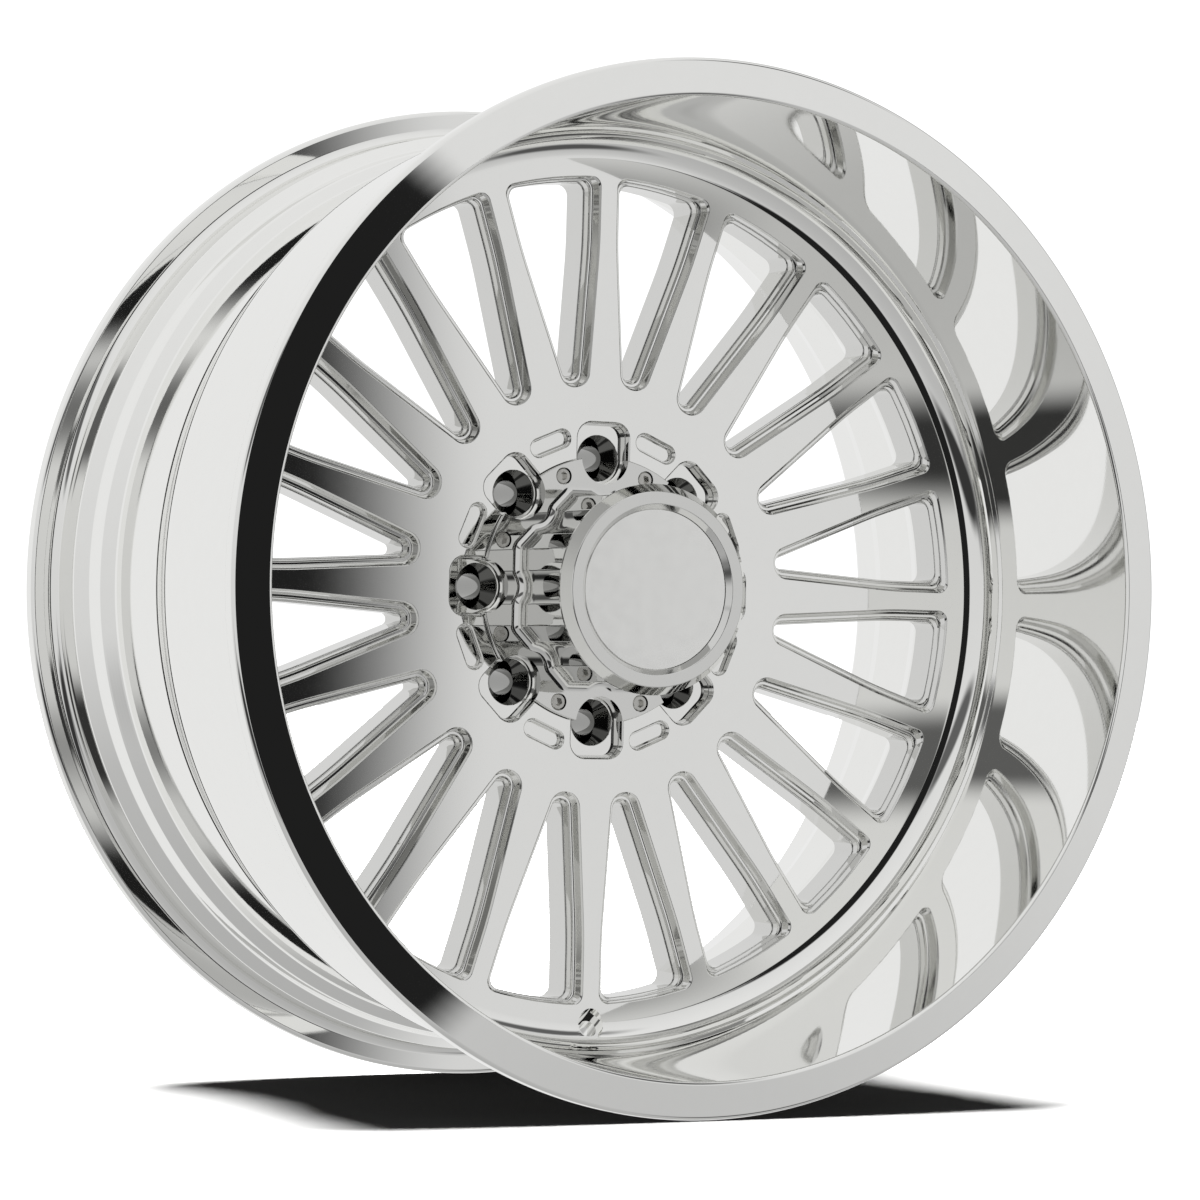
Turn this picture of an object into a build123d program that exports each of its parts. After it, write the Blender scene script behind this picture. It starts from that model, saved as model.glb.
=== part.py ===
"""One-piece forged wheel, 24 x 12 inch, with a tall bolt-on hub cap.

The wheel's axis lies along Y. The outboard face looks towards -Y, +Z is up and the origin is at
the centre of the whole wheel. Depths are measured inboard (+Y) from the outer edge of the front
lip. All sizes are in millimetres.
"""
from build123d import *
import os
from math import atan2, cos, hypot, radians, sin, sqrt, tan

# Rim, front to back
bead_seat_diameter = 614.4
rim_width = 304.8
flange_height = 17.5
flange_thickness = 11.5
flange_tip_radius = 3.5
flange_root_radius = 7.0
bead_seat_length = 21.0
bead_seat_angle = 5.0
hump_height = 1.2
hump_spacing = 4.0
front_barrel_drop = 3.7
drop_well_drop = 17.2
drop_well_lead = 34.0
drop_well_setback = 68.8
drop_well_ramp = 9.0
rear_barrel_drop = 8.2
lip_rake = 5.0
lip_width = 24.2
lip_edge_radius = 2.0

# Dish and inner barrel
dish_taper = 5.0
dish_crease = 2.0
dish_cove_radius = 18.5
dish_floor_width = 32.0
web_ring_depth = 36.0
web_ring_chamfer = (4.5, 12.0)
barrel_wall = 6.5
well_shoulder_length = 26.0
ring_setback = 5.0
ring_length = 15.5
ring_step = 9.5
rear_opening_drop = 7.1
rear_opening_length = 8.8

# Web and hub
offset_from_centre = -44.0
hub_thickness = 55.9
web_thickness = 33.0
hub_pad_margin = 23.0
hub_pad_taper = 9.0
hub_bore_wall = 14.1
hub_bore_chamfer = 1.5
relief_count = 8
relief_radius = 12.0
relief_depth = 12.0

# Spoke windows
window_count = 20
window_inner_radius = 131.0
window_overhang = 2.5
window_corner_radius = 7.0
spoke_half_width = 5.9
spoke_waist_to_end = 44.0
spoke_flare = 0.0642
waist_blend_radius = 400.0
window_tip_fit = 0.96

# Each step of a window's wall: depth, inset from the sides, inset from the outer end
window_steps = [
    (0.0, 0.0, 0.0),
    (1.0, 1.0, 0.9),
    (6.0, 2.8, 1.5),
    (6.0, 4.6, 2.0),
    (7.2, 5.4, 2.4),
    (11.0, 6.4, 2.8),
    (11.0, 7.4, 3.0),
]

# Lug holes, their pockets and the slots between them
lug_count = 8
lug_circle_diameter = 170.0
lug_hole_radius = 8.4
lug_seat_width = 6.35
lug_seat_land = 1.0
lug_seat_half_angle = 32.0
pocket_depth = 8.0
pocket_outer_margin = 8.75
pocket_side_margin = 4.75
pocket_corner_radius = 11.0
pocket_steps = [(0.0, 0.0), (0.8, 0.8), (3.6, 1.4), (3.6, 2.0), (pocket_depth, 2.6)]
slot_circle_margin = 15.3
slot_length = 31.0
slot_width = 13.0
slot_steps = [(0.0, 0.0), (0.8, 0.8), (2.6, 1.2), (2.6, 1.8), (4.6, 2.6)]

# Valve hole, square to the dish cove
valve_hole_radius = 5.75
valve_spot_radius = 9.0
valve_spot_depth = 4.0
valve_circle_margin = 15.5
valve_tilt = 35.0
valve_drill_length = 60.0

# Hub cap
cap_seat_depth = 5.0
cap_fit_clearance = 0.25
cap_flange_margin = 0.5
cap_flange_thickness = 8.0
cap_flange_chamfer = 0.8
cap_scallop_margin = 2.25
cap_height = 81.5
cap_body_setback = 19.0
cap_flute_setback = 11.5
cap_flute_radius = 18.0
cap_flute_edge_radius = 2.5
cap_cove_radius = 7.0
cap_neck_radius = 2.0
cap_head_overhang = 7.5
cap_head_land = 2.0
cap_head_chamfer = (5.2, 6.5)
cap_side_wall = 9.0
cap_bore_corner = 6.0
cap_front_wall = 5.5
plate_rim_width = 16.0
plate_thickness = 4.0
plate_sink = 3.5
plate_recess_flare = 3.2
plate_fit_clearance = 0.2
plate_edge_chamfer = 0.4

# Cap screws, M6 x 16 socket head
screw_count = 8
screw_edge_distance = 7.5
screw_head_radius = 5.0
screw_head_height = 6.0
screw_socket_flats = 5.0
screw_socket_depth = 3.0
screw_shank_radius = 3.0
screw_length = 16.0
screw_edge_chamfer = 0.5
screw_head_sink = 0.4
counterbore_clearance = 0.6
shank_clearance = 0.3
tapped_hole_clearance = 0.05
tapped_hole_runout = 2.0

# Worked out from the sizes above
bead_seat_radius = bead_seat_diameter / 2
bead_seat_drop = bead_seat_length * tan(radians(bead_seat_angle))
flange_radius = bead_seat_radius + flange_height
front_barrel_radius = bead_seat_radius - front_barrel_drop
drop_well_radius = bead_seat_radius - drop_well_drop
rear_barrel_radius = bead_seat_radius - rear_barrel_drop
rear_opening_radius = bead_seat_radius - rear_opening_drop
ring_radius = rear_barrel_radius - ring_step
lip_inner_radius = flange_radius - lip_width
dish_floor_radius = lip_inner_radius - dish_taper
web_ring_radius = dish_floor_radius - dish_floor_width
valve_circle_radius = web_ring_radius + valve_circle_margin
window_outer_radius = web_ring_radius + window_overhang
spoke_waist_station = window_outer_radius - spoke_waist_to_end

lug_circle_radius = lug_circle_diameter / 2
lug_seat_radius = lug_hole_radius + lug_seat_width
pocket_half_width = lug_seat_radius + pocket_side_margin
pocket_outer_radius = lug_circle_radius + lug_seat_radius + pocket_outer_margin
slot_circle_radius = lug_circle_radius + slot_circle_margin
hub_pad_radius = lug_circle_radius + hub_pad_margin
hub_bore_radius = lug_circle_radius - lug_hole_radius - hub_bore_wall
cap_flange_radius = lug_circle_radius + cap_flange_margin
cap_scallop_radius = lug_seat_radius + cap_scallop_margin
cap_flute_circle_radius = lug_circle_radius - cap_flute_setback
screw_circle_radius = cap_flange_radius - screw_edge_distance
cap_body_apothem = screw_circle_radius - cap_body_setback
cap_head_radius = cap_body_apothem + cap_head_overhang
cap_bore_radius = cap_body_apothem - cap_side_wall
plate_radius = cap_head_radius - plate_rim_width
window_pitch = 360 / window_count
lug_pitch = 360 / lug_count

edge_to_edge = rim_width + 2 * flange_thickness
overall_width = edge_to_edge + lip_rake
lip_edge_y = -overall_width / 2 + lip_rake
pad_depth = edge_to_edge / 2 - offset_from_centre
face_depth = pad_depth - hub_thickness
face_y = lip_edge_y + face_depth
drop_well_start = face_depth + drop_well_lead
drop_well_end = edge_to_edge - drop_well_setback
well_shoulder_depth = drop_well_start + well_shoulder_length
ring_start = drop_well_end + ring_setback
ring_end = ring_start + ring_length
rear_opening_depth = edge_to_edge - rear_opening_length
dish_crease_depth = face_depth - dish_cove_radius - 1.0
cap_base_depth = face_depth + cap_seat_depth
cap_flange_top_depth = cap_base_depth - cap_flange_thickness
cap_front_depth = cap_base_depth - cap_height
plate_recess_depth = plate_thickness + plate_sink
counterbore_depth = screw_head_height + screw_head_sink
clearance_hole_radius = screw_shank_radius + shank_clearance
tapped_hole_depth = screw_length + tapped_hole_runout

wheel_axis = Axis.Y
across = (1, 0, 0)
outboard = (0, -1, 0)


def plane_at(depth):
    """The plane square to the axis at a depth, looking outboard, with Z up."""
    return Plane(origin=(0, lip_edge_y + depth, 0), x_dir=across, z_dir=outboard)


def section(*radius_and_depth):
    """Half-section points in the XY plane, from pairs of radius and depth."""
    return [(radius, lip_edge_y + depth) for radius, depth in radius_and_depth]


def bead_profile(flange_face, direction):
    """Bead seat and hump inside one flange: points with their rounding, flange first."""
    foot = flange_face + direction * bead_seat_length
    crest = foot + direction * hump_spacing
    return [
        ((flange_radius, flange_face), flange_tip_radius),
        ((bead_seat_radius, flange_face), flange_root_radius),
        ((bead_seat_radius - bead_seat_drop, foot), 1.5),
        ((bead_seat_radius - bead_seat_drop + hump_height, crest), 3.0),
    ]


def wheel_profile():
    """Closed half-section of the wheel: points with their rounding."""
    front_bead = bead_profile(flange_thickness, 1)
    rear_bead = bead_profile(edge_to_edge - flange_thickness, -1)
    inner_well_radius = drop_well_radius - barrel_wall
    ring_edge = web_ring_radius + web_ring_chamfer[0]
    ring_back = face_depth + web_ring_depth + web_ring_chamfer[1]
    web_back = face_depth + web_thickness
    outer = (
        [((flange_radius, 0), flange_tip_radius)]
        + front_bead
        + [
            ((front_barrel_radius, front_bead[-1][0][1] + 14), 14),
            ((front_barrel_radius, face_depth), 60),
            ((drop_well_radius, drop_well_start), 60),
            ((drop_well_radius, drop_well_end), 5),
            ((rear_barrel_radius - 1.5, drop_well_end + drop_well_ramp), 6),
            ((rear_barrel_radius, rear_bead[-1][0][1] - 12), 8),
        ]
        + rear_bead[::-1]
        + [((flange_radius, edge_to_edge), flange_tip_radius)]
    )
    back = [
        ((rear_opening_radius + 4.5, edge_to_edge), 2.5),
        ((rear_opening_radius, rear_opening_depth), 3),
        ((ring_radius, ring_end), 0.6),
        ((inner_well_radius, ring_start), 0.6),
        ((inner_well_radius, well_shoulder_depth), 6),
        ((ring_edge, ring_back), 0.8),
        ((web_ring_radius, face_depth + web_ring_depth), 0.6),
        ((web_ring_radius, web_back), 0.8),
        ((hub_pad_radius + hub_pad_taper, web_back), 8),
        ((hub_pad_radius, pad_depth), 2),
        ((hub_bore_radius + hub_bore_chamfer, pad_depth), 0),
        ((hub_bore_radius, pad_depth - hub_bore_chamfer), 0),
    ]
    front = [
        ((hub_bore_radius, cap_base_depth), 0),
        ((cap_flange_radius + cap_fit_clearance, cap_base_depth), 0),
        ((cap_flange_radius + cap_fit_clearance, face_depth), 0.4),
        ((dish_floor_radius - dish_crease, face_depth), dish_cove_radius),
        ((dish_floor_radius - dish_crease, dish_crease_depth), 0.8),
        ((dish_floor_radius, dish_crease_depth - dish_crease), 0.8),
        ((lip_inner_radius, 1 - lip_rake), lip_edge_radius),
        ((lip_inner_radius + 2, -lip_rake), lip_edge_radius / 2),
    ]
    return outer + back + front


def mirrored(point):
    """The point across the X axis."""
    return point[0], -point[1]


def window_outline(plane, side_inset, end_inset):
    """One window about the +X axis: straight spoke sides, round tip, arc at the outer end."""
    half_pitch = radians(window_pitch / 2)
    half_width = spoke_half_width + side_inset
    outer_radius = window_outer_radius - end_inset
    tip_x = window_inner_radius + side_inset

    def beside_spoke(station, distance):
        """A point at a station along the spoke and a distance from its centre line."""
        x = station * cos(half_pitch) + distance * sin(half_pitch)
        y = station * sin(half_pitch) - distance * cos(half_pitch)
        return x, y

    outer = beside_spoke(sqrt(outer_radius**2 - half_width**2), half_width)
    waist = beside_spoke(spoke_waist_station, half_width)
    root = beside_spoke(0, half_width + spoke_flare * spoke_waist_station)
    slope = atan2(waist[1] - root[1], waist[0] - root[0])
    tip_half_width = waist[1] - (waist[0] - tip_x) * tan(slope)
    tip = (tip_x, tip_half_width)
    tip_radius = window_tip_fit * tip_half_width * tan(radians(45) + slope / 2)
    with BuildSketch(plane) as outline:
        with BuildLine():
            Polyline(outer, waist, tip, mirrored(tip), mirrored(waist), mirrored(outer))
            ThreePointArc(mirrored(outer), (outer_radius, 0), outer)
        make_face()
        tip_corners, waist_corners, outer_corners = [
            [v for v in outline.vertices() if abs(v.X - x) < 0.01]
            for x in (tip_x, waist[0], outer[0])
        ]
        fillet(tip_corners, tip_radius)
        fillet(waist_corners, waist_blend_radius)
        fillet(outer_corners, window_corner_radius)
    return outline.sketch


def pocket_outline(plane, inset):
    """One lug pocket about the +X axis: square outside the lug circle, round inside it."""
    half_width = pocket_half_width - inset
    outer_x = pocket_outer_radius - inset
    with BuildSketch(plane) as outline:
        with BuildLine():
            Polyline(
                (lug_circle_radius, half_width),
                (outer_x, half_width),
                (outer_x, -half_width),
                (lug_circle_radius, -half_width),
            )
            ThreePointArc(
                (lug_circle_radius, -half_width),
                (lug_circle_radius - half_width, 0),
                (lug_circle_radius, half_width),
            )
        make_face()
        fillet(outline.vertices().group_by(Axis.X)[-1], pocket_corner_radius - inset)
    return outline.sketch


def slot_outline(plane, inset):
    """One oval slot across the +X axis."""
    with BuildSketch(plane) as outline:
        with Locations((slot_circle_radius, 0)):
            SlotOverall(slot_length - 2 * inset, slot_width - 2 * inset, rotation=90)
    return outline.sketch


def stepped_cutter(outline, steps, through=0):
    """A cutter whose walls follow the steps, made about the +X axis with the face at Z = 0."""
    with BuildPart() as cutter:
        for (upper, *upper_insets), (lower, *lower_insets) in zip(steps, steps[1:]):
            if lower > upper:
                top = outline(Plane.XY.offset(-upper), *upper_insets)
                bottom = outline(Plane.XY.offset(-lower), *lower_insets)
                loft([top.face(), bottom.face()], ruled=True)
        if through:
            depth, *insets = steps[-1]
            extrude(outline(Plane.XY.offset(-depth), *insets).face(), amount=depth - through)
    return cutter.part


def turned(points, axis=Axis.Z):
    """A solid of revolution from a closed outline of points in the XZ plane."""
    with BuildPart() as solid:
        with BuildSketch(Plane.XZ):
            with BuildLine():
                Polyline(*points, close=True)
            make_face()
        revolve(axis=axis)
    return solid.part


window_cutter = stepped_cutter(window_outline, window_steps, web_thickness + web_ring_depth)
pocket_cutter = stepped_cutter(pocket_outline, pocket_steps)
slot_cutter = stepped_cutter(slot_outline, slot_steps)

lug_seat_floor = pocket_depth + lug_seat_land
lug_seat_end = lug_seat_floor + (lug_seat_radius - lug_hole_radius) / tan(radians(lug_seat_half_angle))
lug_cutter = turned([
    (0, -pocket_depth),
    (lug_seat_radius, -pocket_depth),
    (lug_seat_radius, -lug_seat_floor),
    (lug_hole_radius, -lug_seat_end),
    (lug_hole_radius, -hub_thickness),
    (0, -hub_thickness),
])

# Forged wheel
valve_plane = Plane(
    origin=(0, face_y, -valve_circle_radius),
    x_dir=across,
    z_dir=(0, -cos(radians(valve_tilt)), sin(radians(valve_tilt))),
)
with BuildPart(plane_at(face_depth)) as forged_wheel:
    with BuildSketch(Plane.XY):
        with BuildLine():
            profile = wheel_profile()
            points = section(*[point for point, rounding in profile])
            FilletPolyline(*points, radius=[rounding for point, rounding in profile], close=True)
        make_face()
    revolve(axis=wheel_axis)
    with PolarLocations(0, window_count, start_angle=window_pitch / 2):
        add(window_cutter, mode=Mode.SUBTRACT)
    with PolarLocations(0, lug_count):
        add(pocket_cutter, mode=Mode.SUBTRACT)
    with PolarLocations(0, lug_count, start_angle=lug_pitch / 2):
        add(slot_cutter, mode=Mode.SUBTRACT)
    with PolarLocations(lug_circle_radius, lug_count):
        add(lug_cutter, mode=Mode.SUBTRACT)
    with BuildSketch(plane_at(cap_base_depth)):
        with PolarLocations(screw_circle_radius, screw_count, start_angle=lug_pitch / 2):
            Circle(screw_shank_radius + tapped_hole_clearance)
    extrude(amount=-tapped_hole_depth, mode=Mode.SUBTRACT)
    with BuildSketch(plane_at(pad_depth)):
        with PolarLocations(lug_circle_radius, relief_count, start_angle=lug_pitch / 2):
            Circle(relief_radius)
    extrude(amount=relief_depth, mode=Mode.SUBTRACT)
    with BuildSketch(valve_plane):
        Circle(valve_hole_radius)
    extrude(amount=-valve_drill_length, mode=Mode.SUBTRACT)
    with BuildSketch(valve_plane.offset(-valve_spot_depth)):
        Circle(valve_spot_radius)
    extrude(amount=valve_drill_length, mode=Mode.SUBTRACT)
forged_wheel.part.label = "forged_wheel"

# Cap body
plate_back_depth = cap_front_depth + plate_recess_depth
bore_end_depth = plate_back_depth + cap_front_wall
head_shoulder_depth = cap_front_depth + cap_head_chamfer[1]
head_back_depth = head_shoulder_depth + cap_head_land
recess_radius = plate_radius + plate_fit_clearance
cap_flute_limit = (cap_body_apothem / cos(radians(lug_pitch / 2)) + cap_head_radius) / 2
flange_section = section(
    (0, cap_base_depth),
    (cap_flange_radius, cap_base_depth),
    (cap_flange_radius, cap_flange_top_depth + cap_flange_chamfer),
    (cap_flange_radius - cap_flange_chamfer, cap_flange_top_depth),
    (0, cap_flange_top_depth),
)
head_section = section(
    (0, head_back_depth),
    (cap_head_radius, head_back_depth),
    (cap_head_radius, head_shoulder_depth),
    (cap_head_radius - cap_head_chamfer[0], cap_front_depth),
    (plate_radius + plate_recess_flare, cap_front_depth),
    (recess_radius, plate_back_depth - plate_thickness),
    (recess_radius, plate_back_depth),
    (0, plate_back_depth),
)

def body_edges_at(depth):
    """The fluted body's outline where it meets the flange or the head."""
    level = lip_edge_y + depth
    edges = cap_body.edges().filter_by_position(Axis.Y, level - 0.01, level + 0.01)
    return edges.filter_by(lambda edge: hypot((edge @ 0.5).X, (edge @ 0.5).Z) < cap_flute_limit)


with BuildPart() as cap_body:
    for outline in (flange_section, head_section):
        with BuildSketch(Plane.XY):
            with BuildLine():
                Polyline(*outline, close=True)
            make_face()
        revolve(axis=wheel_axis)
    with BuildSketch(plane_at(cap_flange_top_depth)) as fluted_section:
        RegularPolygon(cap_body_apothem, lug_count, major_radius=False, rotation=lug_pitch / 2)
        with PolarLocations(cap_flute_circle_radius, lug_count):
            Circle(cap_flute_radius, mode=Mode.SUBTRACT)
        fillet(fluted_section.vertices(), cap_flute_edge_radius)
    extrude(amount=cap_flange_top_depth - head_back_depth)
    fillet(body_edges_at(cap_flange_top_depth), cap_cove_radius)
    fillet(body_edges_at(head_back_depth), cap_neck_radius)
    with BuildSketch(plane_at(cap_flange_top_depth)):
        with PolarLocations(lug_circle_radius, lug_count):
            Circle(cap_scallop_radius)
            Rectangle(lug_circle_radius, 2 * cap_scallop_radius, align=(Align.MIN, Align.CENTER))
    extrude(amount=-cap_flange_thickness, mode=Mode.SUBTRACT)
    with BuildSketch(plane_at(cap_flange_top_depth)):
        with PolarLocations(screw_circle_radius, screw_count, start_angle=lug_pitch / 2):
            Circle(screw_head_radius + counterbore_clearance)
    extrude(amount=-counterbore_depth, mode=Mode.SUBTRACT)
    with BuildSketch(plane_at(cap_flange_top_depth)):
        with PolarLocations(screw_circle_radius, screw_count, start_angle=lug_pitch / 2):
            Circle(clearance_hole_radius)
    extrude(amount=-cap_flange_thickness, mode=Mode.SUBTRACT)
    with BuildSketch(Plane.XY):
        with BuildLine():
            FilletPolyline(
                *section(
                    (0, cap_base_depth),
                    (cap_bore_radius, cap_base_depth),
                    (cap_bore_radius, bore_end_depth),
                    (0, bore_end_depth),
                ),
                radius=[0, 0, cap_bore_corner, 0],
                close=True,
            )
        make_face()
    revolve(axis=wheel_axis, mode=Mode.SUBTRACT)
cap_body.part.label = "cap_body"

# Cap face plate
with BuildPart() as cap_face_plate:
    with BuildSketch(plane_at(plate_back_depth)):
        Circle(plate_radius)
    extrude(amount=plate_thickness)
    chamfer(cap_face_plate.edges().sort_by(Axis.Y)[0], plate_edge_chamfer)
cap_face_plate.part.label = "cap_face_plate"

# Cap screws, one at each pitch, from the first one beside the +X axis
screw_seat = plane_at(cap_flange_top_depth + counterbore_depth)
first_screw_angle = radians(lug_pitch / 2)
screw_plane = screw_seat.shift_origin(
    screw_seat.from_local_coords(
        (
            screw_circle_radius * cos(first_screw_angle),
            screw_circle_radius * sin(first_screw_angle),
            0,
        )
    )
)
with BuildPart() as cap_screw:
    with BuildSketch(screw_plane):
        Circle(screw_head_radius)
    extrude(amount=screw_head_height)
    chamfer(cap_screw.edges().sort_by(Axis.Y)[0], screw_edge_chamfer)
    with BuildSketch(screw_plane):
        Circle(screw_shank_radius)
    extrude(amount=-screw_length)
    chamfer(cap_screw.edges().sort_by(Axis.Y)[-1], screw_edge_chamfer)
    with BuildSketch(screw_plane.offset(screw_head_height)):
        RegularPolygon(screw_socket_flats / 2, 6, major_radius=False)
    extrude(amount=-screw_socket_depth, mode=Mode.SUBTRACT)

cap_screws = []
for number in range(screw_count):
    screw = cap_screw.part.rotate(wheel_axis, -number * 360 / screw_count)
    screw.label = f"cap_screw_{number + 1}"
    cap_screws.append(screw)

os.makedirs("parts", exist_ok=True)
for piece in [forged_wheel.part, cap_body.part, cap_face_plate.part, *cap_screws]:
    export_step(piece, f"parts/{piece.label}.step")
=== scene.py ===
"""Polished forged wheel and its bolt-on hub cap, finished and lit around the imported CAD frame.

Everything is in metres, in the frame's own axes: the wheel's axis lies along Y, its outboard face
looks towards -Y and +Z is up. Sizes of the metal are named in millimetres, as they are in the
part's source, and depths are measured inboard from the outer edge of the front lip.
"""

from math import acos, atan2, ceil, cos, hypot, pi, radians, sin, sqrt, tan

import bmesh
import bpy
import numpy as np
from bpy.props import FloatProperty, FloatVectorProperty, PointerProperty
from mathutils import Matrix, Quaternion, Vector


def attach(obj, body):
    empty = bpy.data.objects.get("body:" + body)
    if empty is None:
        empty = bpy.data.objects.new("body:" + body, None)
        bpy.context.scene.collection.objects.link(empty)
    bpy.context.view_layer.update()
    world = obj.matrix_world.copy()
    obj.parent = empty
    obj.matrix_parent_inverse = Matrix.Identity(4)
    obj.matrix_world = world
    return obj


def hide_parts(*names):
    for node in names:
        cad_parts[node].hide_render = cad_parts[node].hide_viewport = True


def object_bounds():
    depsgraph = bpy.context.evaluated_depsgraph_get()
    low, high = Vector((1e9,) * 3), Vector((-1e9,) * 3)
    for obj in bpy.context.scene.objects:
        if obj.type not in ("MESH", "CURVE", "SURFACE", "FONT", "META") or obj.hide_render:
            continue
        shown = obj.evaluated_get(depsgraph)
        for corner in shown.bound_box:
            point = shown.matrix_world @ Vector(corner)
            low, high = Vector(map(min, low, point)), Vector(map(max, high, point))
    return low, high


bl_info = {
    "name": "Forged Wheel Finish",
    "version": (1, 0, 0),
    "blender": (4, 5, 0),
    "location": "3D View > Sidebar > Wheel",
    "description": "Polishes, lights and frames a forged wheel with its bolt-on hub cap",
    "category": "Object",
}

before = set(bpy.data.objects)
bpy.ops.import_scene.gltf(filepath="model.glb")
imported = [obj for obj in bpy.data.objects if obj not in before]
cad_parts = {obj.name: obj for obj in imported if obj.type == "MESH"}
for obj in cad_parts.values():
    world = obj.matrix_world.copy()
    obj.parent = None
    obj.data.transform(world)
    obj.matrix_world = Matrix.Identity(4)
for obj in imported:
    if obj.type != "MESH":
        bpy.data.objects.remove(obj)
cad_low, cad_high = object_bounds()
MM = 0.001
BODY = "root"

# Rim, front to back
flange_radius = min(-cad_low.x, cad_high.x, -cad_low.z, cad_high.z) / MM
flange_thickness = 11.5
flange_tip_radius = 3.5
flange_root_radius = 7.0
bead_seat_radius = 307.2
bead_seat_length = 21.0
bead_seat_drop = bead_seat_length * tan(radians(5))
hump_height = 1.2
hump_spacing = 4.0
hump_foot_rounding = 1.5
hump_rounding = 3.0
rim_width = 304.8
lip_rake = 5.0
front_barrel_radius = 303.5
front_barrel_run = 14.0
drop_well_radius = 290.0
drop_well_lead = 34.0
drop_well_setback = 68.8
drop_well_ramp = 9.0
drop_well_blend = 60.0
rear_barrel_radius = 299.0
rear_barrel_run = 12.0
rear_barrel_dip = 1.5
rear_opening_radius = 300.1
rear_opening_length = 8.8
rear_opening_flare = 4.5
edge_to_edge = rim_width + 2 * flange_thickness
lip_edge_y = -(edge_to_edge + lip_rake) / 2 + lip_rake

# Dish, web and hub
lip_inner_radius = 300.5
lip_edge_radius = 2.0
dish_floor_radius = 295.5
dish_crease = 2.0
dish_cove_radius = 18.5
face_depth = 152.0
dish_crease_depth = face_depth - dish_cove_radius - 1
well_shoulder_length = 26.0
ring_setback = 5.0
ring_length = 15.5
ring_step = 9.5
web_thickness = 33.0
web_ring_radius = 263.5
web_ring_depth = 36.0
web_ring_chamfer = (4.5, 12.0)
barrel_wall = 6.5
hub_thickness = 55.9
hub_pad_radius = 108.0
hub_pad_taper = 9.0
hub_bore_radius = 62.5
hub_bore_chamfer = 1.5
edge_break = 0.8
fine_break = 0.6
relief_radius = 12.0
relief_depth = 12.0
pad_depth = face_depth + hub_thickness

# Spoke windows
window_count = 20
window_pitch = 360 / window_count
window_inner_radius = 131.0
window_outer_radius = 266.0
window_corner_radius = 7.0
spoke_half_width = 5.9
spoke_waist_station = 222.0
spoke_flare = 0.0642
waist_blend_radius = 400.0
window_tip_fit = 0.96

# Each corner of a window's wall: inset from the sides, inset from the outer end, depth
window_steps = [
    (0.0, 0.0, 0.0),
    (1.0, 0.9, 1.0),
    (2.8, 1.5, 6.0),
    (4.6, 2.0, 6.0),
    (5.4, 2.4, 7.2),
    (6.4, 2.8, 11.0),
    (7.4, 3.0, 11.0),
    (7.4, 3.0, web_thickness + web_ring_depth),
]

# Lug holes, their pockets and the slots between them
lug_count = 8
lug_pitch = 360 / lug_count
lug_circle_radius = 85.0
lug_hole_radius = 8.4
lug_seat_radius = 14.75
lug_seat_land = 1.0
lug_seat_half_angle = 32.0
lug_seat_lip = 0.35
pocket_depth = 8.0
pocket_outer_radius = 108.5
pocket_half_width = 19.5
pocket_corner_radius = 11.0
pocket_steps = [
    (0.0, 0.0, 0.0), (0.8, 0.8, 0.8), (1.4, 1.4, 3.6), (2.0, 2.0, 3.6), (2.6, 2.6, pocket_depth),
]
slot_circle_radius = 100.3
slot_length = 31.0
slot_width = 13.0
slot_steps = [(0.0, 0.0, 0.0), (0.8, 0.8, 0.8), (1.2, 1.2, 2.6), (1.8, 1.8, 2.6), (2.6, 2.6, 4.6)]

# Valve hole, square to the dish cove
valve_hole_radius = 5.75
valve_spot_radius = 9.0
valve_spot_depth = 4.0
valve_circle_radius = 279.0
valve_tilt = 35.0
valve_drill_length = 60.0

# Hub cap
cap_base_depth = face_depth + 5
cap_flange_radius = 85.5
cap_fit_clearance = 0.25
cap_flange_top_depth = cap_base_depth - 8
cap_flange_chamfer = 0.8
cap_scallop_radius = 17.0
cap_front_depth = cap_base_depth - 81.5
cap_body_apothem = 59.0
cap_flute_circle_radius = 73.5
cap_flute_radius = 18.0
cap_flute_edge_radius = 2.5
cap_cove_radius = 7.0
cap_neck_radius = 2.0
cap_head_radius = 66.5
cap_head_land = 2.0
cap_head_chamfer = (5.2, 6.5)
cap_bore_radius = 50.0
cap_bore_corner = 6.0
cap_front_wall = 5.5
plate_radius = 50.5
plate_thickness = 4.0
plate_back_depth = cap_front_depth + 7.5
plate_recess_flare = 3.2
plate_fit_clearance = 0.2
screw_circle_radius = 78.0
counterbore_radius = 5.6
counterbore_depth = 6.4
clearance_hole_radius = 3.3
tapped_hole_radius = 3.05
tapped_hole_depth = 18.0

# How finely round stretches are divided, and how far a cutter runs past a face
turning_steps = 320
small_turning_steps = 48
window_end_steps = 6
pocket_arc_steps = 28
slot_arc_steps = 16
cap_cove_steps = 8
cap_neck_steps = 6
corner_steps = 12
edge_steps = 4
arc_step = radians(7)
overrun = 1.0
wall_lead = 2.0

# Buffing leaves soft clouds this wide, which vary the haze and the colour by these shares
buffing_cloud_size = 9.0
haze_shares = (0.85, 1.2)
darker_share = 0.975
# No turning marks are drawn inside the flange, the outermost edge, so this leaves them off
unturned = flange_radius

# Marks left by a paint roller, in millimetres
roller_mark_size = 4.0
roller_mark_height = 0.05
sensor_width = 36.0


# ---------------------------------------------------------------- nodes and materials

def linear(hex_colour):
    """An sRGB hex value such as "E6E6E4" as linear red, green and blue."""
    shares = [int(hex_colour[i:i + 2], 16) / 255 for i in (0, 2, 4)]
    return tuple(c / 12.92 if c <= 0.04045 else ((c + 0.055) / 1.055) ** 2.4 for c in shares)


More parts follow.
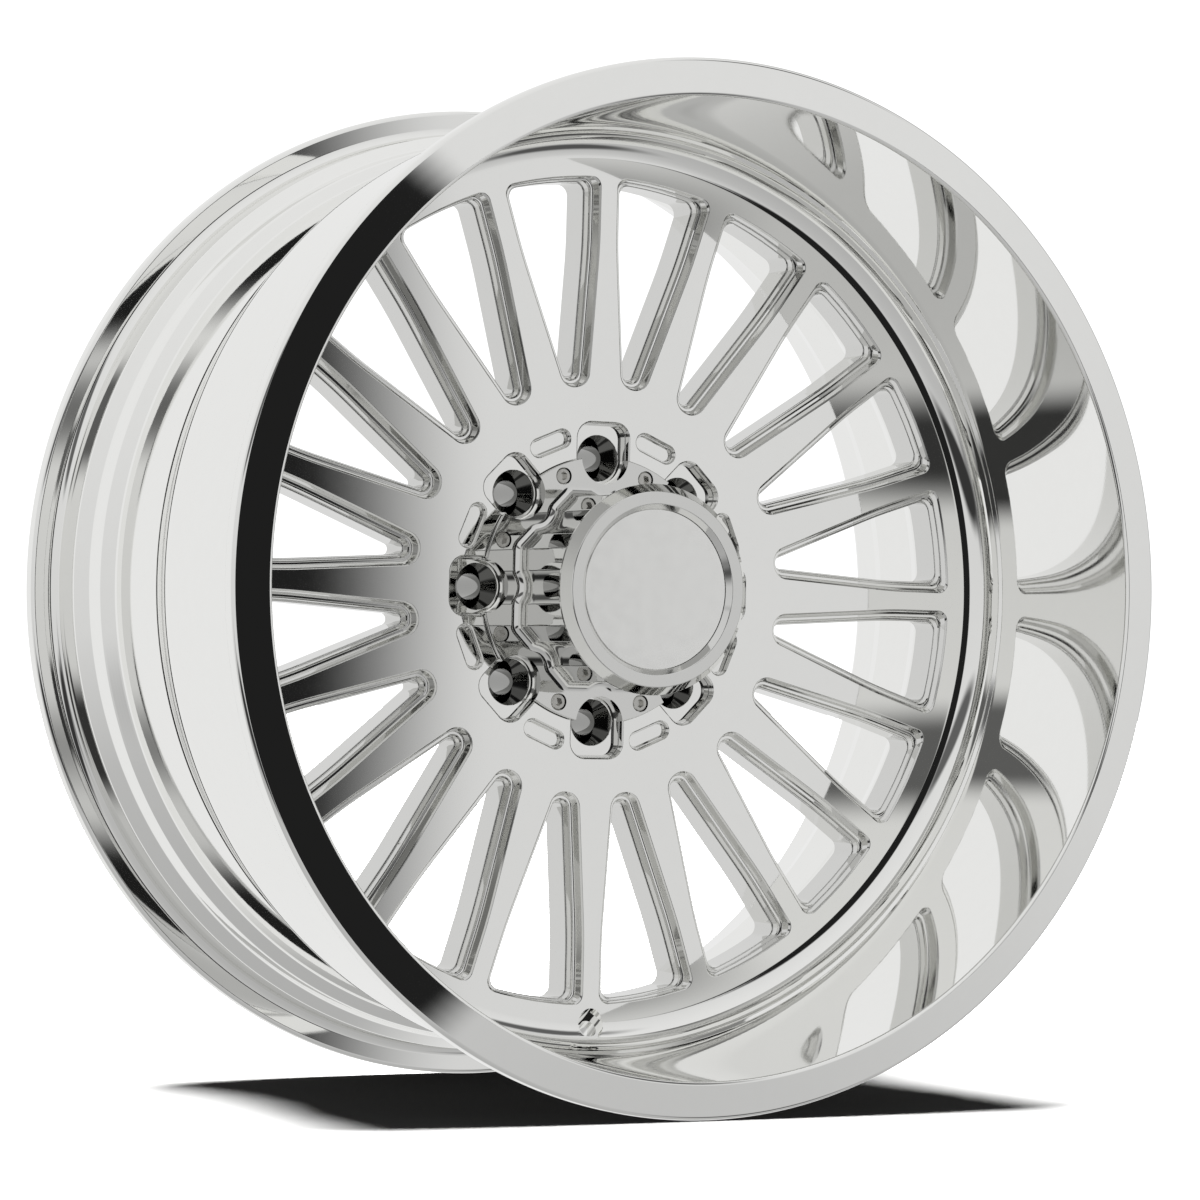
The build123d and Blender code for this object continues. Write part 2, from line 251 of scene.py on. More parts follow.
def add_node(tree, kind, settings=None, inputs=None):
    """Adds a node, sets its own settings, and sets or links its inputs, by name or number."""
    node = tree.nodes.new(kind)
    for name, value in (settings or {}).items():
        setattr(node, name, value)
    for name, value in (inputs or {}).items():
        if isinstance(value, bpy.types.NodeSocket):
            tree.links.new(value, node.inputs[name])
        else:
            node.inputs[name].default_value = value
    return node


def new_material(name):
    """An empty node material and its node tree."""
    material = bpy.data.materials.new(name)
    material.use_nodes = True
    material.node_tree.nodes.clear()
    return material, material.node_tree


def polished_metal(name, colour, roughness, tool, rings=False, turned_from=0.0):
    """Metal turned with a fine tool, given by its pitch and height, and then buffed.

    The eye sees a mirror with faint cloudy buffing marks, and outside the turned_from radius
    the tool's pitch still ripples the edges of what it reflects.
    """
    material, tree = new_material(name)
    tool_pitch, tool_height = tool
    place = add_node(tree, "ShaderNodeTexCoord")
    clouds = add_node(tree, "ShaderNodeTexNoise", inputs={
        "Vector": place.outputs["Object"], "Scale": 1 / (buffing_cloud_size * MM),
        "Detail": 5.0, "Roughness": 0.6})
    haze = add_node(tree, "ShaderNodeMapRange", inputs={
        "Value": clouds.outputs["Fac"], "From Min": 0.3, "From Max": 0.7,
        "To Min": roughness * haze_shares[0], "To Max": roughness * haze_shares[1]})
    tint = add_node(tree, "ShaderNodeMixRGB", inputs={
        "Fac": clouds.outputs["Fac"],
        "Color1": (*[darker_share * c for c in colour], 1), "Color2": (*colour, 1)})
    wave_settings = (
        {"wave_type": "RINGS", "rings_direction": "Y"} if rings
        else {"wave_type": "BANDS", "bands_direction": "Y"})
    # At a scale of one, a wave texture repeats every 2 pi / 20 units
    ripple = add_node(tree, "ShaderNodeTexWave", wave_settings, {
        "Vector": place.outputs["Object"], "Scale": 2 * pi / 20 / (tool_pitch * MM),
        "Distortion": 0.6, "Detail": 1.0, "Detail Scale": 0.4})
    across = add_node(tree, "ShaderNodeVectorMath", {"operation": "MULTIPLY"}, {
        0: place.outputs["Object"], 1: (1, 0, 1)})
    radius = add_node(tree, "ShaderNodeVectorMath", {"operation": "LENGTH"}, {0: across.outputs[0]})
    turned = add_node(tree, "ShaderNodeMath", {"operation": "GREATER_THAN"}, {
        0: radius.outputs["Value"], 1: turned_from * MM})
    relief = add_node(tree, "ShaderNodeBump", inputs={
        "Height": ripple.outputs["Fac"], "Strength": turned.outputs["Value"],
        "Distance": tool_height * MM})
    shader = add_node(tree, "ShaderNodeBsdfPrincipled", inputs={
        "Base Color": tint.outputs["Color"], "Metallic": 1.0,
        "Roughness": haze.outputs["Result"], "Normal": relief.outputs["Normal"]})
    add_node(tree, "ShaderNodeOutputMaterial", inputs={"Surface": shader.outputs["BSDF"]})
    return material


# ---------------------------------------------------------------- outlines and meshes

def rounded(corners, closed=True, steps=None):
    """Points along a polyline whose corners, given as (point, rounding), become arcs."""
    path = []
    count = len(corners)
    for i, (corner, rounding) in enumerate(corners):
        at_end = not closed and i in (0, count - 1)
        if rounding == 0 or at_end:
            path.append(tuple(corner))
            continue
        here = Vector(corner)
        to_last = (Vector(corners[i - 1][0]) - here).normalized()
        to_next = (Vector(corners[(i + 1) % count][0]) - here).normalized()
        bend = acos(max(-1, min(1, -to_last.dot(to_next))))
        reach = rounding * tan(bend / 2)
        middle = here + (to_last + to_next).normalized() * rounding / cos(bend / 2)
        start = here + to_last * reach - middle
        turn = 1 if start.cross(here + to_next * reach - middle) > 0 else -1
        divisions = steps or max(1, ceil(bend / arc_step))
        for k in range(divisions + 1):
            a = turn * bend * k / divisions
            path.append((
                middle.x + start.x * cos(a) - start.y * sin(a),
                middle.y + start.x * sin(a) + start.y * cos(a),
            ))
    return path


def arc(centre, radius, start, end, steps):
    """Points along an arc between two angles, with both ends."""
    return [
        (centre[0] + radius * cos(a), centre[1] + radius * sin(a))
        for a in (start + (end - start) * k / steps for k in range(steps + 1))
    ]


def lathe(mesh, profile, steps, place=Matrix()):
    """Adds the solid that a closed outline of (radius, height) makes about its own Z axis."""
    rings = []
    for radius, height in profile:
        if radius < 1e-6:
            rings.append([mesh.verts.new(place @ Vector((0, 0, height)))] * steps)
            continue
        rings.append([
            mesh.verts.new(place @ Vector((
                radius * cos(2 * pi * k / steps), radius * sin(2 * pi * k / steps), height)))
            for k in range(steps)
        ])
    for first, second in zip(rings, rings[1:] + rings[:1]):
        for k in range(steps):
            corners = [first[k], first[k - 1], second[k - 1], second[k]]
            distinct = list(dict.fromkeys(corners))
            if len(distinct) > 2:
                mesh.faces.new(distinct)


def stack(mesh, levels, place=Matrix()):
    """Adds the solid between outlines of equal point count, each given with its height."""
    rings = [
        [mesh.verts.new(place @ Vector((x, y, height))) for x, y in outline]
        for outline, height in levels
    ]
    count = len(rings[0])
    for first, second in zip(rings, rings[1:]):
        for k in range(count):
            mesh.faces.new((first[k], first[k - 1], second[k - 1], second[k]))
    mesh.faces.new(rings[0])
    mesh.faces.new(rings[-1][::-1])


def face_place(depth, angle=0.0, radius=0.0):
    """Millimetres to metres: Z outboard from a depth, X outwards at an angle round the axis."""
    outboard = Matrix(((1, 0, 0, 0), (0, 0, -1, lip_edge_y + depth), (0, 1, 0, 0), (0, 0, 0, 1)))
    spin = Matrix.Rotation(radians(angle), 4, "Z")
    return Matrix.Scale(MM, 4) @ outboard @ spin @ Matrix.Translation((radius, 0, 0))


def new_object(name, mesh):
    """A scene object from a bmesh, with its faces turned outwards."""
    bmesh.ops.recalc_face_normals(mesh, faces=mesh.faces)
    data = bpy.data.meshes.new(name)
    mesh.to_mesh(data)
    mesh.free()
    obj = bpy.data.objects.new(name, data)
    bpy.context.scene.collection.objects.link(obj)
    return obj


def combine(obj, tool, operation):
    """Joins a tool object to a piece or cuts it away, and removes the tool."""
    modifier = obj.modifiers.new("combine", "BOOLEAN")
    modifier.operation = operation
    modifier.solver = "MANIFOLD"
    modifier.object = tool
    graph = bpy.context.evaluated_depsgraph_get()
    made = bpy.data.meshes.new_from_object(obj.evaluated_get(graph))
    obj.modifiers.clear()
    if len(made.polygons) == 0:
        raise RuntimeError(f"nothing was left of {obj.name}")
    old = obj.data
    obj.data = made
    bpy.data.meshes.remove(old)
    bpy.data.objects.remove(tool)


def smooth_normals(obj, limit=34.0):
    """Corner normals that keep flat areas flat and let roundings run smoothly into them.

    Each corner averages the flat areas that meet at its vertex within the limit of its own,
    weighted by how large each whole flat area is.
    """
    flat_limit = radians(0.15)
    mesh = obj.data
    face_count, corner_count = len(mesh.polygons), len(mesh.loops)
    normals = np.empty(face_count * 3)
    mesh.polygons.foreach_get("normal", normals)
    normals = normals.reshape(-1, 3)
    areas = np.empty(face_count)
    mesh.polygons.foreach_get("area", areas)
    sizes = np.empty(face_count, dtype=int)
    mesh.polygons.foreach_get("loop_total", sizes)
    vertices = np.empty(corner_count, dtype=int)
    mesh.loops.foreach_get("vertex_index", vertices)
    edges = np.empty(corner_count, dtype=int)
    mesh.loops.foreach_get("edge_index", edges)
    faces = np.repeat(np.arange(face_count), sizes)

    # Faces that share an edge and a plane belong to one flat area
    order = np.argsort(edges, kind="stable")
    shared = np.nonzero(edges[order][1:] == edges[order][:-1])[0]
    first, second = faces[order[shared]], faces[order[shared + 1]]
    level = (normals[first] * normals[second]).sum(axis=1) > cos(flat_limit)
    area_of = list(range(face_count))

    def root(face):
        """The face that stands for the flat area this one belongs to."""
        while area_of[face] != face:
            area_of[face] = area_of[area_of[face]]
            face = area_of[face]
        return face

    for a, b in zip(first[level].tolist(), second[level].tolist()):
        area_of[root(a)] = root(b)
    flats = np.unique([root(face) for face in range(face_count)], return_inverse=True)[1].ravel()
    flat_size = np.bincount(flats, weights=areas)
    flat_normal = np.stack([
        np.bincount(flats, weights=areas * normals[:, i]) for i in range(3)
    ], axis=1)
    flat_normal /= np.maximum(np.linalg.norm(flat_normal, axis=1, keepdims=True), 1e-20)

    corner_flat = flats[faces]
    pairs = np.unique(vertices * len(flat_size) + corner_flat)
    pair_vertex, pair_flat = pairs // len(flat_size), pairs % len(flat_size)
    starts = np.searchsorted(pair_vertex, vertices)
    counts = np.searchsorted(pair_vertex, vertices, side="right") - starts
    corner = np.repeat(np.arange(corner_count), counts)
    step = np.arange(counts.sum()) - np.repeat(np.cumsum(counts) - counts, counts)
    other = pair_flat[starts[corner] + step]
    near = (flat_normal[corner_flat[corner]] * flat_normal[other]).sum(axis=1) > cos(radians(limit))
    corner, other = corner[near], other[near]
    result = np.stack([
        np.bincount(corner, weights=flat_size[other] * flat_normal[other, i], minlength=corner_count)
        for i in range(3)
    ], axis=1)
    result /= np.maximum(np.linalg.norm(result, axis=1, keepdims=True), 1e-20)
    mesh.polygons.foreach_set("use_smooth", np.ones(face_count, dtype=bool))
    mesh.normals_split_custom_set(result.tolist())


# ---------------------------------------------------------------- forged wheel

def bead_profile(flange_face, direction):
    """Bead seat and hump inside one flange, flange first, as (radius, depth) with roundings."""
    foot = flange_face + direction * bead_seat_length
    crest = foot + direction * hump_spacing
    return [
        ((flange_radius, flange_face), flange_tip_radius),
        ((bead_seat_radius, flange_face), flange_root_radius),
        ((bead_seat_radius - bead_seat_drop, foot), hump_foot_rounding),
        ((bead_seat_radius - bead_seat_drop + hump_height, crest), hump_rounding),
    ]


def wheel_profile():
    """Closed half-section of the wheel, as (radius, depth) with roundings."""
    front_bead = bead_profile(flange_thickness, 1)
    rear_bead = bead_profile(edge_to_edge - flange_thickness, -1)
    front_hump, rear_hump = front_bead[-1][0][1], rear_bead[-1][0][1]
    inner_well_radius = drop_well_radius - barrel_wall
    drop_well_start = face_depth + drop_well_lead
    drop_well_end = edge_to_edge - drop_well_setback
    ring_start = drop_well_end + ring_setback
    ring_edge = web_ring_radius + web_ring_chamfer[0]
    ring_back = face_depth + web_ring_depth + web_ring_chamfer[1]
    web_back = face_depth + web_thickness
    outer = (
        [((flange_radius, 0), flange_tip_radius)]
        + front_bead
        + [
            ((front_barrel_radius, front_hump + front_barrel_run), front_barrel_run),
            ((front_barrel_radius, face_depth), drop_well_blend),
            ((drop_well_radius, drop_well_start), drop_well_blend),
            ((drop_well_radius, drop_well_end), 5),
            ((rear_barrel_radius - rear_barrel_dip, drop_well_end + drop_well_ramp), 6),
            ((rear_barrel_radius, rear_hump - rear_barrel_run), 8),
        ]
        + rear_bead[::-1]
        + [((flange_radius, edge_to_edge), flange_tip_radius)]
    )
    back = [
        ((rear_opening_radius + rear_opening_flare, edge_to_edge), 2.5),
        ((rear_opening_radius, edge_to_edge - rear_opening_length), 3),
        ((rear_barrel_radius - ring_step, ring_start + ring_length), fine_break),
        ((inner_well_radius, ring_start), fine_break),
        ((inner_well_radius, drop_well_start + well_shoulder_length), 6),
        ((ring_edge, ring_back), edge_break),
        ((web_ring_radius, face_depth + web_ring_depth), fine_break),
        ((web_ring_radius, web_back), edge_break),
        ((hub_pad_radius + hub_pad_taper, web_back), 8),
        ((hub_pad_radius, pad_depth), 2),
        ((hub_bore_radius + hub_bore_chamfer, pad_depth), 0),
        ((hub_bore_radius, pad_depth - hub_bore_chamfer), 0),
    ]
    front = [
        ((hub_bore_radius, cap_base_depth), 0),
        ((cap_flange_radius + cap_fit_clearance, cap_base_depth), 0),
        ((cap_flange_radius + cap_fit_clearance, face_depth), 0.4),
        ((dish_floor_radius - dish_crease, face_depth), dish_cove_radius),
        ((dish_floor_radius - dish_crease, dish_crease_depth), edge_break),
        ((dish_floor_radius, dish_crease_depth - dish_crease), edge_break),
        ((lip_inner_radius, 1 - lip_rake), lip_edge_radius),
        ((lip_inner_radius + 2, -lip_rake), lip_edge_radius / 2),
    ]
    return outer + back + front


def mirrored(point):
    """The point across the X axis."""
    return point[0], -point[1]


def window_outline(side_inset, end_inset):
    """One window about the +X axis: straight spoke sides, round tip, arc at the outer end."""
    half_pitch = radians(window_pitch / 2)
    half_width = spoke_half_width + side_inset
    outer_radius = window_outer_radius - end_inset

    def beside_spoke(station, distance):
        """A point at a station along the spoke and a distance from its centre line."""
        return (
            station * cos(half_pitch) + distance * sin(half_pitch),
            station * sin(half_pitch) - distance * cos(half_pitch),
        )

    outer = beside_spoke(sqrt(outer_radius**2 - half_width**2), half_width)
    waist = beside_spoke(spoke_waist_station, half_width)
    root = beside_spoke(0, half_width + spoke_flare * spoke_waist_station)
    slope = atan2(waist[1] - root[1], waist[0] - root[0])
    tip_x = window_inner_radius + side_inset
    tip = (tip_x, waist[1] - (waist[0] - tip_x) * tan(slope))
    tip_radius = window_tip_fit * tip[1] * tan(radians(45) + slope / 2)
    half_arc = atan2(outer[1], outer[0])
    end_arc = arc((0, 0), outer_radius, -half_arc, half_arc, window_end_steps)[1:-1]
    path = []
    corners = [
        (outer, window_corner_radius), (waist, waist_blend_radius), (tip, tip_radius),
        (mirrored(tip), tip_radius), (mirrored(waist), waist_blend_radius),
        (mirrored(outer), window_corner_radius),
    ] + [(point, 0) for point in end_arc]
    for i, (corner, rounding) in enumerate(corners):
        beside = [corners[i - 1], (corner, rounding), corners[(i + 1) % len(corners)]]
        path += rounded(beside, closed=False, steps=corner_steps)[1:-1]
    return path


def pocket_outline(inset, end_inset):
    """One lug pocket about the +X axis, inset alike all round: square outside, round inside."""
    half_width = pocket_half_width - inset
    outer_x = pocket_outer_radius - end_inset
    inner_arc = arc((lug_circle_radius, 0), half_width, -pi / 2, -3 * pi / 2, pocket_arc_steps)
    corners = [
        (inner_arc[-1], 0), ((outer_x, half_width), pocket_corner_radius - inset),
        ((outer_x, -half_width), pocket_corner_radius - inset), (inner_arc[0], 0),
    ]
    return rounded(corners, closed=False, steps=corner_steps) + inner_arc[1:-1]


def slot_outline(inset, end_inset):
    """One oval slot across the +X axis, inset alike all round."""
    radius = slot_width / 2 - inset
    shift = slot_length / 2 - end_inset - radius
    return (
        arc((slot_circle_radius, shift), radius, 0, pi, slot_arc_steps)
        + arc((slot_circle_radius, -shift), radius, pi, 2 * pi, slot_arc_steps)
    )


def wall_levels(outline, steps, rounding):
    """Outlines down a stepped wall, starting above the face so that a cut is clean."""
    sides = [((side, depth), rounding) for side, end, depth in steps]
    ends = [((end, depth), rounding) for side, end, depth in steps]
    face = [((-wall_lead, 0.0), 0)]
    side_path = rounded(face + sides, closed=False, steps=edge_steps)[1:]
    end_path = rounded(face + ends, closed=False, steps=edge_steps)[1:]
    top = (outline(side_path[0][0], end_path[0][0]), overrun)
    return [top] + [(outline(side[0], end[0]), -side[1]) for side, end in zip(side_path, end_path)]


def lug_profile():
    """Cutter for one lug hole with its cone seat, from the pocket's floor."""
    seat_floor = pocket_depth + lug_seat_land
    seat_end = seat_floor + (lug_seat_radius - lug_hole_radius) / tan(radians(lug_seat_half_angle))
    mouth_radius = lug_seat_radius + lug_seat_lip
    return rounded([
        ((0, -pocket_depth + overrun), 0),
        ((mouth_radius, -pocket_depth + overrun), 0),
        ((mouth_radius, -pocket_depth), 0),
        ((lug_seat_radius, -pocket_depth - lug_seat_lip), 0.3),
        ((lug_seat_radius, -seat_floor), 0.5),
        ((lug_hole_radius, -seat_end), 0.5),
        ((lug_hole_radius, -hub_thickness - overrun), 0),
        ((0, -hub_thickness - overrun), 0),
    ])


def rod_profile(radius, low, high):
    """Half-section of a plain rod between two heights."""
    return [(0, high), (radius, high), (radius, low), (0, low)]


def build_wheel(edge_rounding):
    """The wheel as one solid: turned, then its windows, pockets, slots and holes cut."""
    turned = bmesh.new()
    profile = [(radius, -depth) for radius, depth in rounded(wheel_profile())]
    lathe(turned, profile, turning_steps, face_place(0))
    wheel = new_object("forged_wheel_polished", turned)

    cuts = bmesh.new()
    for wall, start, count in (
        (wall_levels(window_outline, window_steps, edge_rounding), window_pitch / 2, window_count),
        (wall_levels(pocket_outline, pocket_steps, edge_rounding / 2), 0, lug_count),
        (wall_levels(slot_outline, slot_steps, edge_rounding / 2), lug_pitch / 2, lug_count),
    ):
        for number in range(count):
            stack(cuts, wall, face_place(face_depth, start + number * 360 / count))
    for number in range(lug_count):
        angle = (number + 0.5) * lug_pitch
        relief = rod_profile(relief_radius, -overrun, relief_depth)
        lathe(cuts, relief, small_turning_steps, face_place(pad_depth, angle, lug_circle_radius))
        tapped = rod_profile(tapped_hole_radius, -tapped_hole_depth, overrun)
        lathe(cuts, tapped, small_turning_steps, face_place(cap_base_depth, angle, screw_circle_radius))
    valve_top = valve_drill_length - valve_spot_depth
    valve = [
        (0, valve_top), (valve_spot_radius, valve_top),
        (valve_spot_radius, -valve_spot_depth), (valve_hole_radius, -valve_spot_depth),
        (valve_hole_radius, -valve_drill_length), (0, -valve_drill_length),
    ]
    tilt = Matrix.Rotation(radians(-valve_tilt), 4, "Y")
    lathe(cuts, valve, small_turning_steps, face_place(face_depth, -90, valve_circle_radius) @ tilt)
    combine(wheel, new_object("wheel_cuts", cuts), "DIFFERENCE")

    seats = bmesh.new()
    for number in range(lug_count):
        place = face_place(face_depth, number * lug_pitch, lug_circle_radius)
        lathe(seats, lug_profile(), small_turning_steps * 2, place)
    combine(wheel, new_object("lug_seats", seats), "DIFFERENCE")
    smooth_normals(wheel)
    return wheel


def paint_cuts(wheel):
    """Gives milled walls the wheel's second material, greyed as painted shade, and the lug holes its
    third, darkened as painted shade.
    """
    margin = 0.1
    front_margin = 0.05
    rear_margin = 0.5
    level_share = 0.98
    to_face = face_place(face_depth).inverted()
    pitch = radians(lug_pitch)
    for face in wheel.data.polygons:
        x, y, height = to_face @ face.center
        if not -hub_thickness + rear_margin < height < -front_margin:
            continue
        nearest = round(atan2(y, x) / pitch) * pitch
        gap = hypot(x - lug_circle_radius * cos(nearest), y - lug_circle_radius * sin(nearest))
        in_web = height > -web_thickness + margin
        if gap < lug_seat_radius + margin and height < -pocket_depth - margin:
            face.material_index = 2
        elif in_web and lug_circle_radius < hypot(x, y) < window_outer_radius - margin:
            face.material_index = 1 if abs(face.normal.y) < level_share else 0


# ---------------------------------------------------------------- hub cap

def cap_outline(grow):
    """The cap body's fluted octagon, grown outwards by a distance."""
    smallest_gap = 1e-4
    edge_x = cap_body_apothem - cap_flute_edge_radius
    reach = cap_flute_radius + cap_flute_edge_radius
    across = cap_flute_circle_radius - edge_x
    edge_y = sqrt(reach ** 2 - across ** 2)
    flute_angle = atan2(edge_y, across)
    corner = Vector((edge_x, edge_x * tan(radians(lug_pitch / 2))))
    edge_radius = cap_flute_edge_radius + grow
    arcs = [
        ((edge_x, -edge_y), edge_radius, 0, flute_angle),
        ((cap_flute_circle_radius, 0), cap_flute_radius - grow, pi + flute_angle, pi - flute_angle),
        ((edge_x, edge_y), edge_radius, -flute_angle, 0),
        (corner, edge_radius, 0, radians(lug_pitch)),
    ]
    path = []
    for number in range(lug_count):
        spin = Matrix.Rotation(radians(number * lug_pitch), 2)
        for centre, radius, start, end in arcs:
            for point in arc(centre, radius, start, end, corner_steps):
                turned = spin @ Vector(point)
                if not path or (turned - Vector(path[-1])).length > smallest_gap:
                    path.append(tuple(turned))
    return path


def build_cap():
    """The cap as one solid: flange, fluted body and head joined, then bored and drilled."""
    head_back_depth = cap_front_depth + cap_head_chamfer[1] + cap_head_land
    body_height = cap_flange_top_depth - head_back_depth
    cove = arc((cap_cove_radius, cap_cove_radius), cap_cove_radius, -pi / 2, -pi, cap_cove_steps)
    neck_start = (cap_neck_radius, body_height - cap_neck_radius)
    neck = arc(neck_start, cap_neck_radius, pi, pi / 2, cap_neck_steps)
    levels = [(cap_cove_radius, -overrun), *cove, *neck, (cap_neck_radius, body_height + overrun)]
    body = bmesh.new()
    stack(body, [(cap_outline(grow), height) for grow, height in levels], face_place(cap_flange_top_depth))
    cap = new_object("cap_body_polished", body)

    flange = bmesh.new()
    flange_profile = rounded([
        ((0, -cap_flange_top_depth), 0),
        ((cap_flange_radius, -cap_flange_top_depth), cap_flange_chamfer),
        ((cap_flange_radius, -cap_base_depth), 0),
        ((0, -cap_base_depth), 0),
    ])
    lathe(flange, flange_profile, turning_steps, face_place(0))
    combine(cap, new_object("cap_flange", flange), "UNION")

    head = bmesh.new()
    recess_radius = plate_radius + plate_fit_clearance
    recess_start = plate_back_depth - plate_thickness
    head_profile = rounded([
        ((0, -head_back_depth), 0),
        ((cap_head_radius, -head_back_depth), 0.4),
        ((cap_head_radius, -head_back_depth + cap_head_land), 0.4),
        ((cap_head_radius - cap_head_chamfer[0], -cap_front_depth), 1.0),
        ((plate_radius + plate_recess_flare, -cap_front_depth), 0.8),
        ((recess_radius, -recess_start), 0.4),
        ((recess_radius, -plate_back_depth), 0),
        ((0, -plate_back_depth), 0),
    ])
    lathe(head, head_profile, turning_steps, face_place(0))
    combine(cap, new_object("cap_head", head), "UNION")

    cuts = bmesh.new()
    bore_end = -(plate_back_depth + cap_front_wall)
    bore = rounded([
        ((0, bore_end), 0), ((cap_bore_radius, bore_end), cap_bore_corner),
        ((cap_bore_radius, -cap_base_depth - overrun), 0), ((0, -cap_base_depth - overrun), 0),
    ])
    lathe(cuts, bore, turning_steps, face_place(0))
    through_flange = cap_base_depth - cap_flange_top_depth + overrun
    for number in range(lug_count):
        scallop = rod_profile(cap_scallop_radius, -through_flange, overrun)
        place = face_place(cap_flange_top_depth, number * lug_pitch, lug_circle_radius)
        lathe(cuts, scallop, small_turning_steps * 2, place)
        screw_hole = [
            (0, overrun), (counterbore_radius, overrun), (counterbore_radius, -counterbore_depth),
            (clearance_hole_radius, -counterbore_depth),
            (clearance_hole_radius, -through_flange), (0, -through_flange),
        ]
        place = face_place(cap_flange_top_depth, (number + 0.5) * lug_pitch, screw_circle_radius)
        lathe(cuts, screw_hole, small_turning_steps, place)
    combine(cap, new_object("cap_cuts", cuts), "DIFFERENCE")
    smooth_normals(cap)
    return cap


def turning_tool(metal):
    """Pitch and height of the turning marks, in millimetres."""
    return metal.tool_pitch / MM, metal.tool_height / MM


def stand_in(obj, materials, node_name):
    """Lets a finished piece stand for its CAD node."""
    obj.data.materials.clear()
    for material in materials:
        obj.data.materials.append(material)
    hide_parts(node_name)
    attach(obj, BODY)


def repaint(node_name, material):
    """Gives a CAD node a finish through its object's material slots."""
    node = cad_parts[node_name]
    for slot in node.material_slots:
        slot.link = "OBJECT"
        slot.material = material


# ---------------------------------------------------------------- studio

# What the metal mirrors: name, azimuth from the front towards +X, elevation, half width,
# half height, softness of the edge, grey level
studio_panels = [
    ("bright wall behind", 180, 5, 78, 72, 0.35, "E5E5E5"),
    ("grey wall on the right", 112, 0, 18, 58, 0.5, "9A9A9A"),
    ("dim strip above the horizon", -36, 20, 28, 6, 0.35, "5E5E5E"),
    ("dim wall, lower left", -68, -20, 9, 12, 0.5, "868686"),
    ("dark floor ahead on the left", -42, -19, 27, 8, 0.3, "343434"),
    ("dark gap ahead", 6, 0, 20, 26, 0.07, "1E1E1E"),
    ("dim corner, upper right", 50, 42, 10, 9, 0.5, "5C5C5C"),
    ("dim corner, lower right", 50, -42, 11, 9, 0.5, "505050"),
]
# Grey levels of the open studio, from straight down to straight up
studio_levels = [
    (-1.0, "AEAEAE"), (-0.55, "B8B8B8"), (-0.15, "D2D2D2"), (0.3, "D8D8D8"), (1.0, "E2E2E2"),
]
camera_aim = (0.005178, 0.0, -0.006049)
# The studio is raised by one over this, and matt surfaces get only this much of it
metal_reflectance = 0.9
shadow_glow = 0.03


def add_panel(tree, direction, below, azimuth, elevation, half_width, half_height, softness, level):
    """Lays one soft-edged oval of a grey level over the colour below it."""
    local = add_node(tree, "ShaderNodeMapping", {"vector_type": "TEXTURE"}, {
        "Vector": direction, "Rotation": (radians(-elevation), 0, radians(azimuth)),
        "Scale": (tan(radians(half_width)), 1, tan(radians(half_height)))})
    unit = add_node(tree, "ShaderNodeVectorMath", {"operation": "NORMALIZE"}, {0: local.outputs[0]})
    ahead = add_node(tree, "ShaderNodeVectorMath", {"operation": "DOT_PRODUCT"}, {
        0: unit.outputs[0], 1: (0, -1, 0)})
    cover = add_node(tree, "ShaderNodeMapRange", {"interpolation_type": "SMOOTHSTEP"}, {
        "Value": ahead.outputs["Value"],
        "From Min": 1 / hypot(1, 1 + softness), "From Max": 1 / hypot(1, 1 - softness)})
    mixed = add_node(tree, "ShaderNodeMixRGB", inputs={
        "Fac": cover.outputs["Result"], "Color1": below, "Color2": (*linear(level), 1)})
    return mixed.outputs["Color"]


def light_studio(backdrop_level):
    """A pale studio all round, with dark gaps ahead of the wheel that draw its shape in the metal."""
    world = bpy.data.worlds.new("pale_studio")
    bpy.context.scene.world = world
    world.use_nodes = True
    tree = world.node_tree
    tree.nodes.clear()
    place = add_node(tree, "ShaderNodeTexCoord")
    direction = place.outputs["Generated"]
    parts = add_node(tree, "ShaderNodeSeparateXYZ", inputs={"Vector": direction})
    height = add_node(tree, "ShaderNodeMapRange", inputs={
        "Value": parts.outputs["Z"], "From Min": -1.0, "From Max": 1.0})
    ramp = add_node(tree, "ShaderNodeValToRGB", inputs={"Fac": height.outputs["Result"]})
    stops = ramp.color_ramp.elements
    while len(stops) < len(studio_levels):
        stops.new(0.5)
    for stop, (rise, level) in zip(stops, studio_levels):
        stop.position = (rise + 1) / 2
        stop.color = (*linear(level), 1)
    colour = ramp.outputs["Color"]
    for panel in studio_panels:
        colour = add_panel(tree, direction, colour, *panel[1:])
    ray = add_node(tree, "ShaderNodeLightPath")
    # Only the metal sees the studio: matt ground is lit by the overhead light alone
    seen = add_node(tree, "ShaderNodeMapRange", inputs={
        "Value": ray.outputs["Diffuse Depth"], "To Min": 1 / metal_reflectance, "To Max": shadow_glow})
    studio = add_node(tree, "ShaderNodeBackground", inputs={
        "Color": colour, "Strength": seen.outputs[0]})
    backdrop = add_node(tree, "ShaderNodeBackground", inputs={"Strength": backdrop_level})
    backdrop.inputs["Color"].default_value = (1, 1, 1, 1)
    both = add_node(tree, "ShaderNodeMixShader", inputs={
        0: ray.outputs["Is Camera Ray"], 1: studio.outputs[0], 2: backdrop.outputs[0]})
    add_node(tree, "ShaderNodeOutputWorld", inputs={"Surface": both.outputs[0]})


